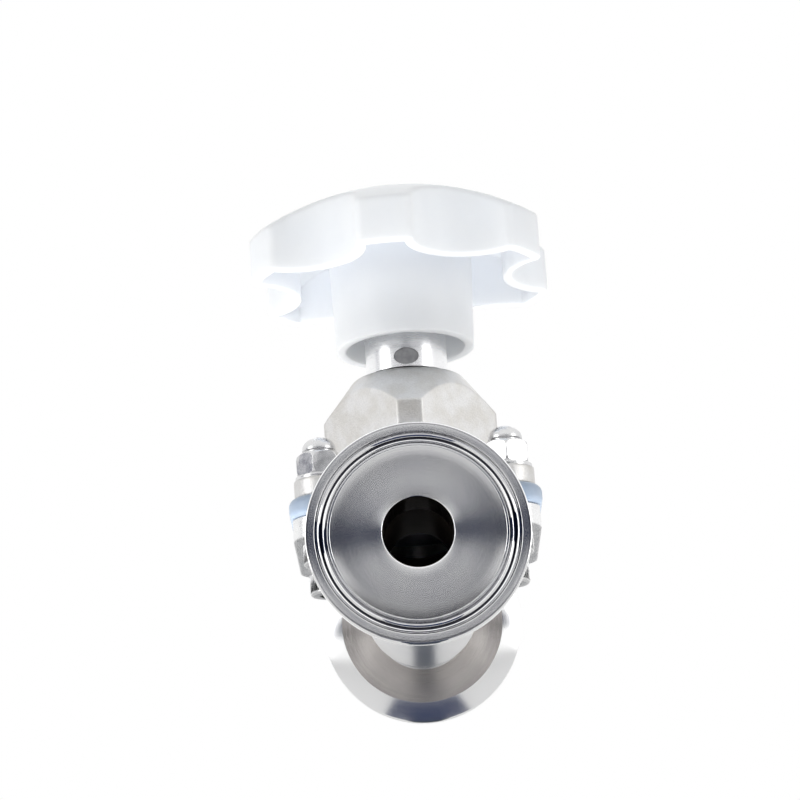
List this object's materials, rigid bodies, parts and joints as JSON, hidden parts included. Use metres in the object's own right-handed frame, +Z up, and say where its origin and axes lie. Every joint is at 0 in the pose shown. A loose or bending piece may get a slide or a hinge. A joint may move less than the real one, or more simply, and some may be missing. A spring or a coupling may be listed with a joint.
{
  "type": "diaphragm valve",
  "caption": "Manual weir-type diaphragm valve with clamp ferrule ends, a cast bonnet and a domed star handwheel on a rising stem.",
  "frame": {"origin": "centre of the inlet clamp face, on the axis of the flow bore", "axes": "+Y along the flow from the inlet face to the outlet face, +Z up along the stem towards the handwheel, +X to the right when looking along the flow"},
  "size_m": [0.0728, 0.108, 0.1228],
  "materials": {
    "polished_steel": "turned and polished",
    "cast_steel": "investment cast, satin",
    "turned_steel": "fine turned",
    "fastener_steel": "bright",
    "spring_steel": "plain",
    "bronze": "turned",
    "blue_elastomer": "light blue, matt",
    "black_rubber": "matt",
    "grey_plastic": "matt",
    "white_plastic": "fine matt"
  },
  "bodies": {
    "valve": {"valve_body": "polished_steel", "inlet_ferrule": "polished_steel", "outlet_ferrule": "polished_steel", "diaphragm": "blue_elastomer", "bonnet": "cast_steel", "bonnet_sleeve": "turned_steel", "weep_plug": "grey_plastic", "spindle_bush": "bronze", "stem_wiper": "grey_plastic", "stem_oring": "black_rubber", "neck_oring": "black_rubber", "bush_circlip": "spring_steel", "cap_screws": "fastener_steel", "nut_washers": "fastener_steel", "cap_nuts": "fastener_steel"},
    "stem": {"compressor": "cast_steel", "diaphragm_stud": "turned_steel", "retaining_pins": "spring_steel", "thrust_washer": "bronze"},
    "wheel": {"spindle": "turned_steel", "handwheel": "white_plastic", "wheel_insert": "turned_steel", "wheel_washer": "fastener_steel", "wheel_nut": "fastener_steel", "wheel_cap": "white_plastic"}
  },
  "joints": [
    {"name": "stem_rise", "type": "slide", "parent": "valve", "child": "stem", "axis": [0, 0, 1], "range_m": [-0.007, 0], "deforming": ["diaphragm"]},
    {"name": "handwheel_turn", "type": "hinge", "parent": "stem", "child": "wheel", "pos_m": [0, 0.054, 0.09], "axis": [0, 0, 1], "range_deg": [-1260, 0]}
  ],
  "couplings": [
    {"joint": "handwheel_turn", "follows": "stem_rise", "rad_per_m": 3141.6}
  ]
}
